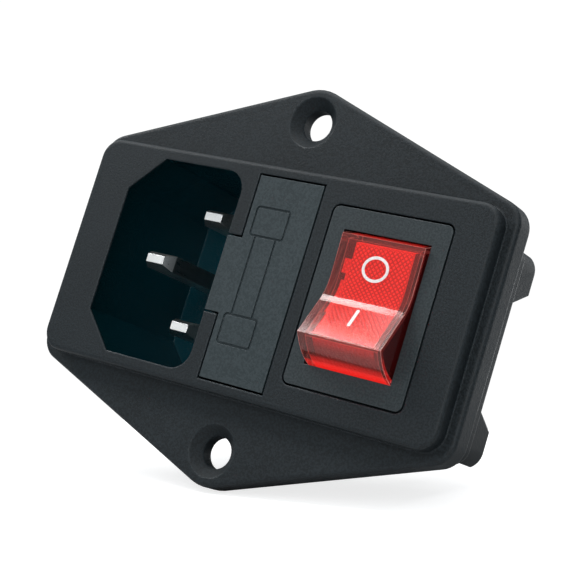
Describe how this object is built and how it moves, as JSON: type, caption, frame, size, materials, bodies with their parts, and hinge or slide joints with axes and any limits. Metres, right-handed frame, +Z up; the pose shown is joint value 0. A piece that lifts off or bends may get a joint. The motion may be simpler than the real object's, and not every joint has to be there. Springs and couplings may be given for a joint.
{
  "type": "power entry module",
  "caption": "Panel power entry module: appliance inlet, fuse drawer and lit rocker switch on a hexagonal black flange with screw holes at its pointed ends.",
  "frame": {"origin": "midway between the two panel screws, at the flange's back face", "axes": "+X from the inlet towards the switch, +Y into the panel and out of the back, +Z up, towards the rocker's O end"},
  "size_m": [0.0588, 0.0314, 0.0484],
  "materials": {
    "black_plastic": "fine matte grain",
    "drawer_plastic": "fine matte grain",
    "switch_plastic": "fine matte grain",
    "pin_metal": "bright plated",
    "brass": "stamped",
    "contact_metal": "plated",
    "clear_red": "clear gloss",
    "bright_red": "satin",
    "clear_glass": "clear",
    "resistor_body": "lacquered"
  },
  "bodies": {
    "module": {"housing": "black_plastic", "line_pin": "pin_metal", "neutral_pin": "pin_metal", "earth_pin": "pin_metal", "fuse_contact": "pin_metal", "switch_case": "switch_plastic", "common_terminal": "brass", "load_terminal": "brass", "lamp_terminal": "brass", "fixed_contact": "contact_metal"},
    "rocker": {"rocker_cap": "clear_red", "rocker_reflector": "bright_red", "neon_lamp": "clear_glass", "lamp_resistor": "resistor_body", "lamp_leads": "contact_metal", "plunger": "contact_metal", "plunger_spring": "contact_metal"},
    "lever": {"contact_lever": "brass", "moving_contact": "contact_metal"},
    "drawer": {"fuse_drawer": "drawer_plastic", "fuse_glass": "clear_glass", "fuse_caps": "contact_metal", "fuse_wire": "contact_metal", "spare_fuse_glass": "clear_glass", "spare_fuse_caps": "contact_metal", "spare_fuse_wire": "contact_metal"}
  },
  "joints": [
    {"name": "rocker_tilt", "type": "hinge", "parent": "module", "child": "rocker", "pos_m": [0.0154, -0.00185, 0], "axis": [1, 0, 0], "range_deg": [0, 28]},
    {"name": "lever_tilt", "type": "hinge", "parent": "module", "child": "lever", "pos_m": [0.0154, 0.0066, 0], "axis": [1, 0, 0], "range_deg": [-20, 0]},
    {"name": "drawer_slide", "type": "slide", "parent": "module", "child": "drawer", "axis": [0, -1, 0], "range_m": [0, 0.016]}
  ],
  "couplings": [
    {"joint": "lever_tilt", "follows": "rocker_tilt", "ratio": -0.714}
  ]
}
